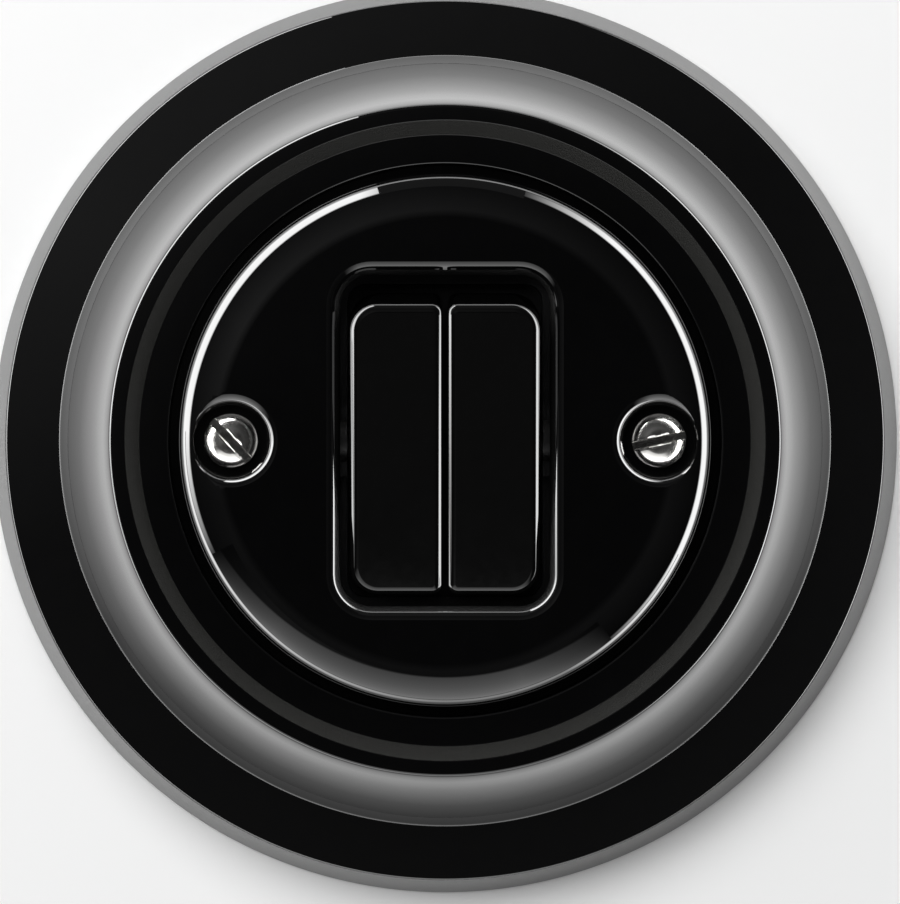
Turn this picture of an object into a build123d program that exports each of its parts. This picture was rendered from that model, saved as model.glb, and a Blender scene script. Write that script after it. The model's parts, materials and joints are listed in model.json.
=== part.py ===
from build123d import *
import math
import os

# A round push-key wall dimmer in glazed porcelain. Millimetres, +Z up.
# The wall is the plane Y = 0 and the front faces -Y. The origin is on the axis of the frame.
# Heights named with _f are measured from the wall towards the front, so they are -Y.

# Push keys
key_width = 10.45
key_length = 33.0
key_gap = 0.45
key_outer_corner = 3.2
key_inner_corner = 1.2
key_edge_round = 1.1
key_wall = 1.5
key_face_thickness = 2.0
key_skirt = 1.6
key_pivot_depth = 8.0
key_rest_tilt = 8.0
key_travel = 12.0
key_proud = 0.8
key_side_clearance = 1.1
key_end_clearance = 1.15
key_hub_radius = 2.6
key_hub_block = 6.4
key_hub_boss = 0.15
nose_radius = 0.9
nose_reach = 2.4
nose_inset = 6.5
axle_radius = 1.0
axle_running_clearance = 0.06
axle_seat_clearance = 0.02

# Cover disc
screw_spacing = 48.0
screw_edge_margin = 6.0
disc_thickness = 6.6
disc_roll_width = 5.0
disc_roll_drop = 2.1
disc_back_round = 0.3
aperture_corner = 3.5
aperture_rim_round = 1.8
pocket_clearance = 1.0
recess_radius = 4.0
recess_depth = 2.3
recess_rim_round = 1.5
recess_lip = 0.03

# Cover screws and their posts
screw_head_radius = 3.1
screw_head_rim = 0.8
screw_head_dome = 1.1
screw_slot_width = 0.8
screw_slot_depth = 1.1
screw_shank_radius = 1.75
screw_hole_clearance = 0.35
left_slot_angle = -47.0
right_slot_angle = 12.0
thread_clearance = 0.02
post_radius = 2.6
post_tenon_radius = 2.2
post_gap = 0.6
screw_tip_gap = 0.6

# Outer frame, from the bore outwards
bore_gap = 1.0
post_clearance = 0.4
land_width = 3.3
inner_slope_width = 1.6
crest_width = 1.6
slope_width = 5.9
slope_bulge = 0.35
slope_round = 40.0
shoulder_width = 6.1
shoulder_height = 6.0
shoulder_fall = 0.2
crest_rise = 6.4
land_drop = 1.2
ledge_drop = 4.6
ledge_thickness = 3.0
crest_outer_round = 0.4
crest_inner_round = 0.3
side_draft = 1.7
frame_edge_round = 0.25
frame_back_round = 0.3
bore_edge_round = 0.5
foot_round = 0.4
land_round = 0.3
plate_clearance = 2.5

# Mounting plate
plate_thickness = 1.2
plate_margin = 5.0
box_screw_spacing = 60.0
box_slot_length = 6.6
box_slot_width = 3.8

# Key carrier
tub_side_clearance = 0.325
tub_end_clearance = 1.1
tub_wall = 1.6
tub_depth = 3.0
tub_floor = 2.4
tub_corner = 2.0
window_clearance = 0.25
flange_thickness = 1.8
flange_overlap_side = 2.0
flange_overlap_end = 3.8
flange_corner = 3.0
lug_radius = 3.4
ear_radius = 2.3
ear_length = 8.0
guide_radius = 2.6
guide_length = 1.8

# Plungers, springs and switches
plunger_gap = 0.15
plunger_head_radius = 2.5
plunger_head_thickness = 1.2
plunger_radius = 1.2
plunger_running_clearance = 0.05
plunger_reach = 0.8
spring_wire = 0.4
spring_radius = 1.85
spring_turns = 5.0
spring_seat_gap = 0.04
switch_size = 7.0
switch_height = 5.4
switch_gap = 0.4
switch_hole_radius = 1.6
switch_hole_spare = 0.5

# Housing and its screws
housing_clearance = 1.2
housing_wall = 1.8
housing_round = 1.5
board_ledge = 2.0
board_thickness = 1.6
board_clearance = 0.3
rear_room = 11.0
boss_radius = 3.0
boss_inset = 2.6
boss_clearance = 0.9
boss_board_gap = 0.6
carrier_screw_radius = 1.25
carrier_screw_head_radius = 2.3
carrier_screw_head = 1.6
carrier_screw_length = 8.0
carrier_slot_width = 0.7
carrier_slot_depth = 0.8
carrier_hole_clearance = 0.2

# Terminals
terminal_pitch = 9.0
cage_width = 6.4
cage_length = 7.0
cage_height = 8.0
cage_wall_clearance = 1.0
wire_radius = 1.6
wire_entry_clearance = 0.2
wire_depth = 3.4
terminal_screw_radius = 1.5
terminal_head_radius = 2.2
terminal_head = 1.4
terminal_slot_width = 0.7
terminal_tip_gap = 0.3
access_clearance = 0.4

# Circuit components
triac_width = 8.5
triac_tab_length = 15.0
triac_tab = 1.2
triac_body_length = 9.0
triac_body = 3.2
triac_clearance = 0.9
chip_width = 5.0
chip_length = 4.0
chip_height = 1.6
chip_z = -8.0
choke_x = 10.0
choke_z = 8.0
choke_flange_radius = 6.0
choke_flange = 1.2
choke_hub_radius = 2.4
choke_height = 9.0
winding_radius = 5.2
winding_clearance = 0.05
capacitor_x = -9.0
capacitor_z = 8.0
capacitor_width = 13.0
capacitor_thickness = 6.5
capacitor_height = 9.5
capacitor_round = 0.6
fuse_z = -4.0
fuse_length = 20.0
fuse_radius = 2.5
fuse_bore = 1.9
fuse_cap_length = 5.0
fuse_cap_wall = 0.3
fuse_cap_clearance = 0.02
fuse_stand_off = 1.0
clip_width = 4.0
clip_wall = 0.6

# Heights from the wall
crest_f = shoulder_height + crest_rise
land_f = crest_f - land_drop
ledge_f = land_f - ledge_drop
hollow_f = ledge_f - ledge_thickness
face_f = ledge_f + disc_thickness
tilt = math.radians(key_rest_tilt)
pivot_f = face_f + key_proud - key_pivot_depth / math.cos(tilt)
ear_top_f = pivot_f + ear_radius
pocket_f = ear_top_f + pocket_clearance
recess_f = face_f - recess_depth
post_top_f = ledge_f - post_gap
flange_f = plate_thickness + flange_thickness
floor_f = -tub_depth
floor_back_f = floor_f - tub_floor
guide_back_f = floor_back_f - guide_length
board_f = guide_back_f - switch_gap - switch_height
board_back_f = board_f - board_thickness
rear_inner_f = board_back_f - rear_room

# The nose of a key at rest, from the pivot, and the plunger that it meets
nose_offset = key_length / 2 - nose_inset
nose_back = nose_reach * math.cos(tilt) - nose_offset * math.sin(tilt) + nose_radius
nose_height = nose_reach * math.sin(tilt) + nose_offset * math.cos(tilt)
plunger_front_f = pivot_f - nose_back - plunger_gap
plunger_seat_f = plunger_front_f - plunger_head_thickness
plunger_tip_f = guide_back_f - plunger_reach
plunger_stroke = nose_height * math.radians(key_travel)

# Radii and half sizes in the plane of the wall
key_x = (key_gap + key_width) / 2
keys_half_width = key_gap / 2 + key_width
key_low_end = key_length / 2 * math.cos(tilt) + key_pivot_depth * math.sin(tilt)
key_swing = math.hypot(key_length / 2, key_skirt)
aperture_half_width = keys_half_width + key_side_clearance
aperture_half_length = key_low_end + key_end_clearance
tub_half_width = keys_half_width + tub_side_clearance
tub_half_length = key_swing + tub_end_clearance
tub_outer_width = tub_half_width + tub_wall
tub_outer_length = tub_half_length + tub_wall
screw_x = screw_spacing / 2
disc_radius = screw_x + screw_edge_margin
bore_radius = disc_radius + bore_gap
ledge_radius = screw_x + post_radius + post_clearance
land_radius = bore_radius + land_width
crest_inner_radius = land_radius + inner_slope_width
crest_outer_radius = crest_inner_radius + crest_width
foot_radius = crest_outer_radius + slope_width
shoulder_radius = foot_radius + shoulder_width
frame_radius = shoulder_radius + side_draft
plate_radius = box_screw_spacing / 2 + box_slot_length / 2 + plate_margin
hollow_radius = plate_radius + plate_clearance
housing_inner = math.hypot(tub_outer_width, tub_outer_length) + housing_clearance
housing_outer = housing_inner + housing_wall
rear_inner = housing_inner - board_ledge
rear_outer = rear_inner + housing_wall
boss_x = tub_outer_width + boss_clearance + boss_radius
boss_z = math.sqrt((housing_inner - boss_inset) ** 2 - boss_x ** 2)
boss_places = [(x, z) for x in (-boss_x, boss_x) for z in (-boss_z, boss_z)]
cage_corner_x = terminal_pitch + cage_width / 2
terminal_z = cage_length / 2 + cage_wall_clearance - math.sqrt(rear_inner ** 2 - cage_corner_x ** 2)
terminal_xs = [-terminal_pitch, 0, terminal_pitch]
cage_back_f = board_back_f - cage_height
wire_f = board_back_f - wire_depth
screw_places = [-screw_x, screw_x]
key_places = [-key_x, key_x]
through = 1.0


def turned(points, rounds):
    # Solid of revolution about the Y axis from (radius, height) points, one round per corner.
    outline = FilletPolyline([(r, -f) for r, f in points], radius=rounds, close=True)
    return revolve(make_face(outline), axis=Axis.Y)


def prism(sketch, back_f, front_f):
    # Sketch in the plane of the wall, drawn out between two heights.
    return extrude(Plane.XZ.offset(back_f) * sketch, amount=front_f - back_f)


def post(x, z, radius, back_f, front_f):
    return prism(Pos(x, z) * Circle(radius), back_f, front_f)


def block(width, length, back_f, front_f, x=0.0, z=0.0, corner=0.0):
    sketch = RectangleRounded(width, length, corner) if corner else Rectangle(width, length)
    return prism(Pos(x, z) * sketch, back_f, front_f)


def cross_pin(radius, length, x, f, z):
    # Round bar along X.
    return Pos(x, -f, z) * Rotation(0, 90, 0) * Cylinder(radius, length)


def upright_pin(radius, length, x, f, z):
    # Round bar along Z, starting at z and running down.
    return Pos(x, -f, z - length / 2) * Cylinder(radius, length)


def make_outer_frame():
    slope = Vector(slope_width, -crest_rise)
    outward = Vector(crest_rise, slope_width).normalized()
    belly = Vector(crest_outer_radius, crest_f) + slope * 0.5 + outward * slope_bulge
    corners = [
        (ledge_radius, hollow_f, 0),
        (ledge_radius, ledge_f, 0),
        (bore_radius, ledge_f, 0),
        (bore_radius, land_f, bore_edge_round),
        (land_radius, land_f, land_round),
        (crest_inner_radius, crest_f, crest_inner_round),
        (crest_outer_radius, crest_f, crest_outer_round),
        (belly.X, belly.Y, slope_round),
        (foot_radius, shoulder_height, foot_round),
        (shoulder_radius, shoulder_height - shoulder_fall, frame_edge_round),
        (frame_radius, 0, frame_back_round),
        (hollow_radius, 0, 0),
        (hollow_radius, hollow_f, 0),
    ]
    return turned([(r, f) for r, f, _ in corners], [rounding for _, _, rounding in corners])


def make_cover_disc():
    roll = EllipticalCenterArc(
        (disc_radius - disc_roll_width, disc_roll_drop - face_f),
        disc_roll_width,
        disc_roll_drop,
        start_angle=270,
        arc_size=90,
    )
    outline = FilletPolyline(
        [roll @ 1, (disc_radius, -ledge_f), (0, -ledge_f), (0, -face_f), roll @ 0],
        radius=[disc_back_round, 0, 0],
    )
    disc = revolve(make_face(roll + outline), axis=Axis.Y)
    disc -= block(
        2 * aperture_half_width,
        2 * aperture_half_length,
        ledge_f - through,
        face_f + through,
        corner=aperture_corner,
    )
    front = disc.faces().sort_by(Axis.Y)[0]
    disc = fillet(front.inner_wires()[0].edges(), aperture_rim_round)
    disc -= block(
        2 * (tub_outer_width + pocket_clearance),
        2 * (aperture_half_length + pocket_clearance),
        ledge_f - through,
        pocket_f,
        corner=aperture_corner,
    )
    mouth = recess_radius + 2 * recess_rim_round
    sink = turned(
        [
            (0, recess_f),
            (recess_radius, recess_f),
            (recess_radius, face_f + recess_lip),
            (mouth, face_f + recess_lip),
            (mouth, face_f + through),
            (0, face_f + through),
        ],
        [0, 0, recess_rim_round, 0, 0, 0],
    )
    for x in screw_places:
        disc -= Pos(x, 0, 0) * sink
        disc -= post(x, 0, screw_shank_radius + screw_hole_clearance, ledge_f - through, recess_f + through)
    return disc


def make_cover_screw(x, slot_angle):
    head_f = recess_f + screw_head_rim + screw_head_dome
    rim = post(0, 0, screw_head_radius, recess_f, recess_f + screw_head_rim)
    dome_radius = (screw_head_radius ** 2 + screw_head_dome ** 2) / (2 * screw_head_dome)
    dome = Pos(0, dome_radius - head_f, 0) * Sphere(dome_radius)
    dome &= post(0, 0, screw_head_radius, recess_f + screw_head_rim, head_f)
    shank = post(0, 0, screw_shank_radius, plate_thickness + screw_tip_gap, recess_f)
    slot_sketch = Rot(0, 0, slot_angle) * Rectangle(3 * screw_head_radius, screw_slot_width)
    slot = prism(slot_sketch, head_f - screw_slot_depth, head_f + through)
    return Pos(x, 0, 0) * (rim + dome + shank - slot)


def make_screw_posts():
    posts = Part()
    for x in screw_places:
        body = post(x, 0, post_radius, plate_thickness, post_top_f)
        body += post(x, 0, post_tenon_radius, 0, plate_thickness)
        posts += body - post(x, 0, screw_shank_radius + thread_clearance, -through, post_top_f + through)
    return posts


def make_left_key():
    # Drawn level about the pivot, then tilted to its rest and set on the axle.
    half_width = key_width / 2
    half_length = key_length / 2
    outline = FilletPolyline(
        [
            (-half_width, -half_length),
            (half_width, -half_length),
            (half_width, half_length),
            (-half_width, half_length),
        ],
        radius=[key_outer_corner, key_inner_corner, key_inner_corner, key_outer_corner],
        close=True,
    )
    key = prism(make_face(outline), -key_skirt, key_pivot_depth)
    key = fillet(key.faces().sort_by(Axis.Y)[0].edges(), key_edge_round)
    pocket_width = key_width - 2 * key_wall
    pocket_end = half_length - key_wall
    pocket_start = key_hub_block / 2
    pocket_length = pocket_end - pocket_start
    pocket_front = key_pivot_depth - key_face_thickness
    for side in (-1, 1):
        middle = side * (pocket_start + pocket_end) / 2
        key -= block(pocket_width, pocket_length, -key_skirt - through, pocket_front, z=middle)
    key += cross_pin(key_hub_radius, key_width + 2 * key_hub_boss, 0, 0, 0)
    key += block(pocket_width, 2 * nose_radius, -nose_reach, pocket_front, z=nose_offset)
    key += cross_pin(nose_radius, pocket_width, 0, -nose_reach, nose_offset)
    key -= cross_pin(axle_radius + axle_running_clearance, key_width + through, 0, 0, 0)
    return Pos(-key_x, -pivot_f, 0) * Rotation(key_rest_tilt, 0, 0) * key


def make_key_carrier():
    carrier = block(
        2 * (tub_outer_width + flange_overlap_side),
        2 * (tub_outer_length + flange_overlap_end),
        plate_thickness,
        flange_f,
        corner=flange_corner,
    )
    for z in (-boss_z, boss_z):
        carrier += block(2 * boss_x, 2 * lug_radius, plate_thickness, flange_f, z=z)
    for x, z in boss_places:
        carrier += post(x, z, lug_radius, plate_thickness, flange_f)
    carrier += block(
        2 * tub_outer_width, 2 * tub_outer_length, floor_back_f, flange_f, corner=tub_corner + tub_wall
    )
    for side in (-1, 1):
        ear_x = side * (tub_half_width + tub_wall / 2)
        carrier += block(tub_wall, ear_length, flange_f, pivot_f, x=ear_x)
        carrier += cross_pin(ear_radius, tub_wall, ear_x, pivot_f, 0)
    carrier -= block(2 * tub_half_width, 2 * tub_half_length, floor_f, ear_top_f + through, corner=tub_corner)
    for x in key_places:
        carrier += post(x, nose_height, guide_radius, guide_back_f, floor_back_f)
    for x in key_places:
        guide_bore = plunger_radius + plunger_running_clearance
        carrier -= post(x, nose_height, guide_bore, guide_back_f - through, floor_f + through)
    for x, z in boss_places:
        carrier -= post(x, z, carrier_screw_radius + carrier_hole_clearance, 0, flange_f + through)
    carrier -= cross_pin(axle_radius + axle_seat_clearance, 2 * tub_outer_width + through, 0, pivot_f, 0)
    return carrier


def make_plunger(x):
    head = post(x, nose_height, plunger_head_radius, plunger_seat_f, plunger_front_f)
    return head + post(x, nose_height, plunger_radius, plunger_tip_f, plunger_seat_f)


def make_return_spring(x):
    low_f = floor_f + spring_seat_gap + spring_wire / 2
    high_f = plunger_seat_f - spring_seat_gap - spring_wire / 2
    height = high_f - low_f
    coil = Helix(
        pitch=height / spring_turns,
        height=height,
        radius=spring_radius,
        center=(x, -low_f, nose_height),
        direction=(0, -1, 0),
    )
    wire = Plane(origin=coil @ 0, z_dir=coil % 0) * Circle(spring_wire / 2)
    return sweep(wire, path=coil, is_frenet=True)


def make_push_switch(x):
    switch = block(switch_size, switch_size, board_f, board_f + switch_height, x=x, z=nose_height)
    hole_f = plunger_tip_f - plunger_stroke - switch_hole_spare
    return switch - post(x, nose_height, switch_hole_radius, hole_f, board_f + switch_height + through)


def make_mounting_plate():
    plate = post(0, 0, plate_radius, 0, plate_thickness)
    plate -= block(
        2 * (tub_outer_width + window_clearance),
        2 * (tub_outer_length + window_clearance),
        -through,
        plate_thickness + through,
        corner=tub_corner + tub_wall,
    )
    slot = SlotOverall(box_slot_length, box_slot_width, rotation=90)
    for z in (-box_screw_spacing / 2, box_screw_spacing / 2):
        plate -= prism(Pos(0, z) * slot, -through, plate_thickness + through)
    for x, z in boss_places:
        hole = carrier_screw_radius + carrier_hole_clearance
        plate -= post(x, z, hole, -through, plate_thickness + through)
    for x in screw_places:
        plate -= post(x, 0, post_tenon_radius + thread_clearance, -through, plate_thickness + through)
    return plate


def make_carrier_screws():
    screws = Part()
    head_f = flange_f + carrier_screw_head
    for x, z in boss_places:
        screw = post(x, z, carrier_screw_head_radius, flange_f, head_f)
        screw += post(x, z, carrier_screw_radius, flange_f - carrier_screw_length, flange_f)
        slot = Pos(x, z) * Rectangle(3 * carrier_screw_head_radius, carrier_slot_width)
        screws += screw - prism(slot, head_f - carrier_slot_depth, head_f + through)
    return screws


def make_mechanism_housing():
    step_f = board_back_f - housing_wall
    back_f = rear_inner_f - housing_wall
    cup = turned(
        [
            (0, rear_inner_f),
            (rear_inner, rear_inner_f),
            (rear_inner, board_back_f),
            (housing_inner, board_back_f),
            (housing_inner, 0),
            (housing_outer, 0),
            (housing_outer, step_f),
            (rear_outer, step_f),
            (rear_outer, back_f),
            (0, back_f),
        ],
        [0, 0, 0, 0, 0, 0, housing_round, 0, housing_round, 0],
    )
    wall = post(0, 0, housing_outer, board_f + boss_board_gap, 0)
    for x, z in boss_places:
        cup += post(x, z, boss_radius, board_f + boss_board_gap, 0) & wall
    for x, z in boss_places:
        hole = carrier_screw_radius + thread_clearance
        cup -= post(x, z, hole, board_f + boss_board_gap - through, through)
    for x in terminal_xs:
        cup -= post(x, terminal_z, terminal_head_radius + access_clearance, back_f - through, rear_inner_f + through)
        cup -= upright_pin(wire_radius + wire_entry_clearance, housing_outer, x, wire_f, terminal_z)
    return cup


def make_terminal_cages():
    cages = Part()
    for x in terminal_xs:
        cage = block(cage_width, cage_length, cage_back_f, board_back_f, x=x, z=terminal_z)
        cage -= upright_pin(wire_radius, cage_length + through, x, wire_f, terminal_z + (cage_length + through) / 2)
        cage -= post(x, terminal_z, terminal_screw_radius + thread_clearance, cage_back_f - through, wire_f)
        cages += cage
    return cages


def make_terminal_screws():
    screws = Part()
    head_f = cage_back_f - terminal_head
    tip_f = wire_f - wire_radius - terminal_tip_gap
    for x in terminal_xs:
        screw = post(x, terminal_z, terminal_head_radius, head_f, cage_back_f)
        screw += post(x, terminal_z, terminal_screw_radius, cage_back_f, tip_f)
        slot = Pos(x, terminal_z) * Rectangle(3 * terminal_head_radius, terminal_slot_width)
        screws += screw - prism(slot, head_f - through, head_f + terminal_head / 2)
    return screws


def make_triac():
    x = -(tub_outer_width + triac_clearance + triac_width / 2)
    low_end = (triac_body_length - triac_tab_length) / 2
    tab = block(triac_width, triac_tab_length, -triac_tab, 0, x=x)
    return tab + block(triac_width, triac_body_length, -triac_tab - triac_body, -triac_tab, x=x, z=low_end)


def make_choke_core():
    back_f = board_back_f - choke_height
    core = post(choke_x, choke_z, choke_hub_radius, back_f, board_back_f)
    core += post(choke_x, choke_z, choke_flange_radius, back_f, back_f + choke_flange)
    return core + post(choke_x, choke_z, choke_flange_radius, board_back_f - choke_flange, board_back_f)


def make_choke_winding():
    back_f = board_back_f - choke_height + choke_flange
    front_f = board_back_f - choke_flange
    winding = post(choke_x, choke_z, winding_radius, back_f, front_f)
    return winding - post(choke_x, choke_z, choke_hub_radius + winding_clearance, back_f, front_f)


def make_film_capacitor():
    body = block(
        capacitor_width,
        capacitor_thickness,
        board_back_f - capacitor_height,
        board_back_f,
        x=capacitor_x,
        z=capacitor_z,
    )
    return fillet(body.edges().filter_by(Axis.Y), capacitor_round)


cap_inner = fuse_radius + fuse_cap_clearance
cap_outer = cap_inner + fuse_cap_wall
fuse_f = board_back_f - fuse_stand_off - cap_outer


def make_fuse_tube():
    tube = cross_pin(fuse_radius, fuse_length, 0, fuse_f, fuse_z)
    return tube - cross_pin(fuse_bore, fuse_length + through, 0, fuse_f, fuse_z)


def make_fuse_caps():
    caps = Part()
    for side in (-1, 1):
        inner_x = side * (fuse_length - fuse_cap_length) / 2
        outer_x = inner_x + side * fuse_cap_wall / 2
        cap = cross_pin(cap_outer, fuse_cap_length + fuse_cap_wall, outer_x, fuse_f, fuse_z)
        caps += cap - cross_pin(cap_inner, fuse_cap_length, inner_x, fuse_f, fuse_z)
    return caps


def make_fuse_clips():
    clips = Part()
    for side in (-1, 1):
        x = side * (fuse_length - fuse_cap_length) / 2
        saddle = block(clip_width, 2 * (cap_outer + clip_wall), fuse_f, board_back_f, x=x, z=fuse_z)
        clips += saddle - cross_pin(cap_outer + fuse_cap_clearance, clip_width + through, x, fuse_f, fuse_z)
    return clips


left_key = make_left_key()

nodes = {
    "outer_frame": make_outer_frame(),
    "cover_disc": make_cover_disc(),
    "cover_screw_left": make_cover_screw(-screw_x, left_slot_angle),
    "cover_screw_right": make_cover_screw(screw_x, right_slot_angle),
    "screw_posts": make_screw_posts(),
    "left_key": left_key,
    "right_key": mirror(left_key, Plane.YZ),
    "key_axle": cross_pin(axle_radius, 2 * tub_outer_width, 0, pivot_f, 0),
    "key_carrier": make_key_carrier(),
    "left_plunger": make_plunger(-key_x),
    "right_plunger": make_plunger(key_x),
    "left_return_spring": make_return_spring(-key_x),
    "right_return_spring": make_return_spring(key_x),
    "left_push_switch": make_push_switch(-key_x),
    "right_push_switch": make_push_switch(key_x),
    "mounting_plate": make_mounting_plate(),
    "carrier_screws": make_carrier_screws(),
    "mechanism_housing": make_mechanism_housing(),
    "circuit_board": post(0, 0, housing_inner - board_clearance, board_back_f, board_f),
    "control_chip": block(chip_width, chip_length, board_f, board_f + chip_height, z=chip_z),
    "triac": make_triac(),
    "choke_core": make_choke_core(),
    "choke_winding": make_choke_winding(),
    "film_capacitor": make_film_capacitor(),
    "fuse_tube": make_fuse_tube(),
    "fuse_caps": make_fuse_caps(),
    "fuse_clips": make_fuse_clips(),
    "terminal_cages": make_terminal_cages(),
    "terminal_screws": make_terminal_screws(),
}

os.makedirs("parts", exist_ok=True)
for name, solid in nodes.items():
    export_step(solid, f"parts/{name}.step")

print(f"frame diameter {2 * frame_radius:.2f}, front face {face_f:.2f} from the wall")
print(f"key pivot at Y {-pivot_f:.4f}, Z 0")
print(f"plunger at X {key_x:.4f}, Z {nose_height:.4f}, stroke {plunger_stroke:.4f}")
print(f"wire entries at Y {-wire_f:.4f}, Z {terminal_z:.4f}, back of housing Y {housing_wall - rear_inner_f:.4f}")
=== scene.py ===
import bpy
import bmesh
import json
import math
from mathutils import Matrix, Vector


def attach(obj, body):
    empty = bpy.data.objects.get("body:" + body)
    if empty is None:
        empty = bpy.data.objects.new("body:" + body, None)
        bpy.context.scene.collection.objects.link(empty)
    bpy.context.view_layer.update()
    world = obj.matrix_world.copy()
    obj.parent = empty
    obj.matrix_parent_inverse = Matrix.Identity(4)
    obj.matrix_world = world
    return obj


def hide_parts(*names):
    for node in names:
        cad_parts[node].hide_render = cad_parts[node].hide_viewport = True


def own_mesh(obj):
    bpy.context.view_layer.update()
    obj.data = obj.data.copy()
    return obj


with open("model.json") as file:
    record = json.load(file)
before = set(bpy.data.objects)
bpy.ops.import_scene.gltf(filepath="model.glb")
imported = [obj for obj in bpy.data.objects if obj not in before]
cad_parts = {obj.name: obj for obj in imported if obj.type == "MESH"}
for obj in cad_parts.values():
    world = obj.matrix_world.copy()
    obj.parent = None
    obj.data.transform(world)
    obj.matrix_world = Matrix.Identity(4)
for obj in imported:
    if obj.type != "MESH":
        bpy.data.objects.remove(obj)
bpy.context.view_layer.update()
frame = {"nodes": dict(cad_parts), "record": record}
scene = bpy.context.scene
scene.view_settings.view_transform = "Standard"
slotOf = {row["node"]: row["material_slot"] for row in frame["record"]["subparts"]}
mm = 0.001
print("frame loaded,", len(frame["nodes"]), "nodes")


# node helpers
def mathNode(tree, operation, first, second=None, clamp=False):
    node = tree.nodes.new("ShaderNodeMath")
    node.operation = operation
    node.use_clamp = clamp
    for socket, value in zip(node.inputs, (first, second)):
        if isinstance(value, (int, float)):
            socket.default_value = value
        elif value is not None:
            tree.links.new(value, socket)
    return node.outputs[0]


def mixColours(tree, factor, first, second):
    mix = tree.nodes.new("ShaderNodeMix")
    mix.data_type = "RGBA"
    tree.links.new(factor, mix.inputs["Factor"])
    colourSockets = [socket for socket in mix.inputs if socket.type == "RGBA"]
    for socket, value in zip(colourSockets, (first, second)):
        if isinstance(value, tuple):
            socket.default_value = (*value, 1.0)
        else:
            tree.links.new(value, socket)
    return [socket for socket in mix.outputs if socket.type == "RGBA"][0]


def noiseNode(tree, vector, scale, detail):
    noise = tree.nodes.new("ShaderNodeTexNoise")
    noise.inputs["Detail"].default_value = detail
    if isinstance(scale, float):
        noise.inputs["Scale"].default_value = scale
    else:
        tree.links.new(scale, noise.inputs["Scale"])
    tree.links.new(vector, noise.inputs["Vector"])
    return noise.outputs["Fac"]


def newMaterial(name):
    result = bpy.data.materials.new(name)
    result.use_nodes = True
    return result, result.node_tree, result.node_tree.nodes["Principled BSDF"]


# shader groups shared by the finishes
groupSizes = dict(
    broadDetail=3.0, fineDetail=2.0, wearSamples=4, wearGain=6.0, wearScale=900.0, wearDetail=2.0,
    dustScale=700.0, dustDetail=6.0,
)


def newGroup(name, inputs, outputs):
    group = bpy.data.node_groups.new(name, "ShaderNodeTree")
    for label, value in inputs.items():
        kind = "NodeSocketVector" if value is None else "NodeSocketFloat"
        socket = group.interface.new_socket(label, in_out="INPUT", socket_type=kind)
        if value is not None:
            socket.default_value = value
    for label in outputs:
        group.interface.new_socket(label, in_out="OUTPUT", socket_type="NodeSocketFloat")
    return group, group.nodes.new("NodeGroupInput").outputs, group.nodes.new("NodeGroupOutput").inputs


def buildGrainGroup(s):
    inputs = {"Vector": None, "Scale": 200.0, "Fine": 8.0}
    group, given, wanted = newGroup("surfaceGrain", inputs, ["Tone", "Height"])
    broad = noiseNode(group, given["Vector"], given["Scale"], s["broadDetail"])
    fineScale = mathNode(group, "MULTIPLY", given["Scale"], given["Fine"])
    fine = noiseNode(group, given["Vector"], fineScale, s["fineDetail"])
    tone = mathNode(group, "MULTIPLY", mathNode(group, "ADD", broad, fine), 0.5)    # the mean of both
    group.links.new(tone, wanted["Tone"])
    group.links.new(fine, wanted["Height"])
    return group


def buildWearGroup(s):
    group, given, wanted = newGroup("edgeWear", {"Vector": None, "Reach": 0.0004, "Amount": 0.5}, ["Mask"])
    rounded = group.nodes.new("ShaderNodeBevel")
    rounded.samples = s["wearSamples"]
    group.links.new(given["Reach"], rounded.inputs["Radius"])
    facing = group.nodes.new("ShaderNodeVectorMath")
    facing.operation = "DOT_PRODUCT"
    group.links.new(rounded.outputs["Normal"], facing.inputs[0])
    group.links.new(group.nodes.new("ShaderNodeNewGeometry").outputs["Normal"], facing.inputs[1])
    turned = mathNode(group, "SUBTRACT", 1.0, facing.outputs["Value"])
    edge = mathNode(group, "MULTIPLY", turned, s["wearGain"], clamp=True)
    patches = noiseNode(group, given["Vector"], s["wearScale"], s["wearDetail"])
    broken = mathNode(group, "MULTIPLY", edge, patches)
    group.links.new(mathNode(group, "MULTIPLY", broken, given["Amount"], clamp=True), wanted["Mask"])
    return group


def buildDustGroup(s):
    group, given, wanted = newGroup("restingDust", {"Vector": None, "Amount": 0.2}, ["Mask"])
    split = group.nodes.new("ShaderNodeSeparateXYZ")
    group.links.new(group.nodes.new("ShaderNodeNewGeometry").outputs["Normal"], split.inputs[0])
    upward = mathNode(group, "MAXIMUM", split.outputs["Z"], 0.0)
    patches = noiseNode(group, given["Vector"], s["dustScale"], s["dustDetail"])
    settled = mathNode(group, "MULTIPLY", upward, patches)
    group.links.new(mathNode(group, "MULTIPLY", settled, given["Amount"], clamp=True), wanted["Mask"])
    return group


surfaceGrain = buildGrainGroup(groupSizes)
edgeWear = buildWearGroup(groupSizes)
restingDust = buildDustGroup(groupSizes)
print("shader groups built")


def placeGroup(tree, group, vector, values):
    node = tree.nodes.new("ShaderNodeGroup")
    node.node_tree = group
    tree.links.new(vector, node.inputs["Vector"])
    for label, value in values.items():
        node.inputs[label].default_value = value
    return node.outputs


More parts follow.
